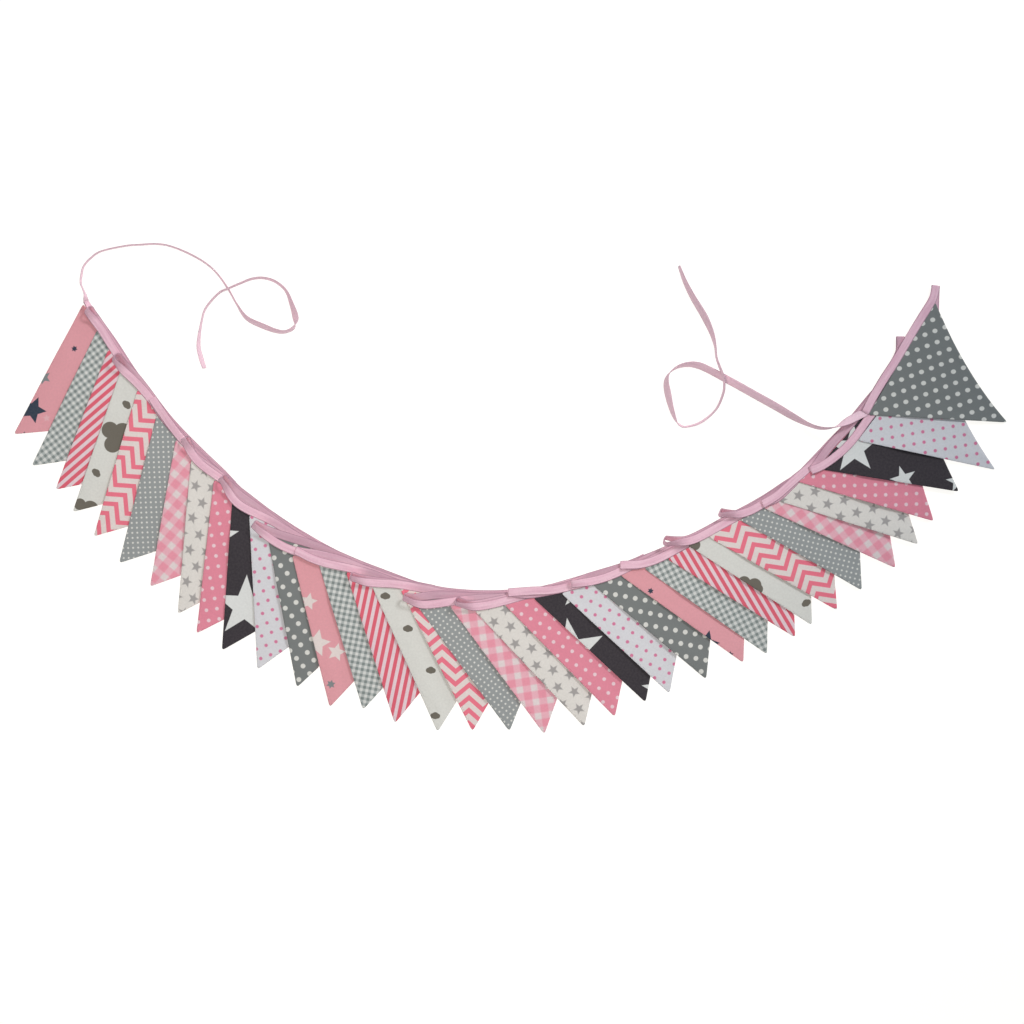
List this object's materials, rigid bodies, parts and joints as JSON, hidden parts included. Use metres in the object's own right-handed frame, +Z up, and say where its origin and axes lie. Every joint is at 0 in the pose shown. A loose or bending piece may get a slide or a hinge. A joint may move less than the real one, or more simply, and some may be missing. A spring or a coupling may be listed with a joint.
{
  "type": "fabric bunting",
  "caption": "Fabric bunting laid down in a curved zigzag: overlapping triangular cotton flags in mixed prints on one folded pink binding, with a loose tape tie at each end.",
  "frame": {"origin": "centre of the bounding box of the flags and the binding, on the surface that they lie on", "axes": "+X along the arc's chord from the lowest flag to the uppermost one, +Y towards the arc's open side where the ties lie, +Z up from the surface"},
  "size_m": [1.1224, 0.5552, 0.0267],
  "materials": {
    "pink_star": "pink cotton with scattered stars",
    "grey_gingham": "small grey and white gingham cotton",
    "rose_stripe": "rose and white striped cotton",
    "cloud": "off-white cotton with taupe clouds",
    "coral_chevron": "coral and white chevron cotton",
    "grey_pin_dot": "grey cotton with pin dots",
    "pink_gingham": "large pink and white gingham cotton",
    "grey_star": "off-white cotton with grey stars",
    "hot_pink_dot": "hot pink cotton with white dots",
    "charcoal_star": "charcoal cotton with white stars",
    "lilac_dot": "white cotton with pink dots",
    "grey_green_dot": "grey-green cotton with white dots",
    "tape_pink": "light pink cotton bias tape, stitched"
  },
  "bodies": {
    "root": {"flag_01": "pink_star", "flag_02": "grey_gingham", "flag_03": "rose_stripe", "flag_04": "cloud", "flag_05": "coral_chevron", "flag_06": "grey_pin_dot", "flag_07": "pink_gingham", "flag_08": "grey_star", "flag_09": "hot_pink_dot", "flag_10": "charcoal_star", "flag_11": "lilac_dot", "flag_12": "grey_green_dot", "flag_13": "pink_star", "flag_14": "grey_gingham", "flag_15": "rose_stripe", "flag_16": "cloud", "flag_17": "coral_chevron", "flag_18": "grey_pin_dot", "flag_19": "pink_gingham", "flag_20": "grey_star", "flag_21": "hot_pink_dot", "flag_22": "charcoal_star", "flag_23": "lilac_dot", "flag_24": "grey_green_dot", "flag_25": "pink_star", "flag_26": "grey_gingham", "flag_27": "rose_stripe", "flag_28": "cloud", "flag_29": "coral_chevron", "flag_30": "grey_pin_dot", "flag_31": "pink_gingham", "flag_32": "grey_star", "flag_33": "hot_pink_dot", "flag_34": "charcoal_star", "flag_35": "lilac_dot", "flag_36": "grey_green_dot", "binding": "tape_pink", "tie_left": "tape_pink", "tie_right": "tape_pink"}
  },
  "joints": []
}
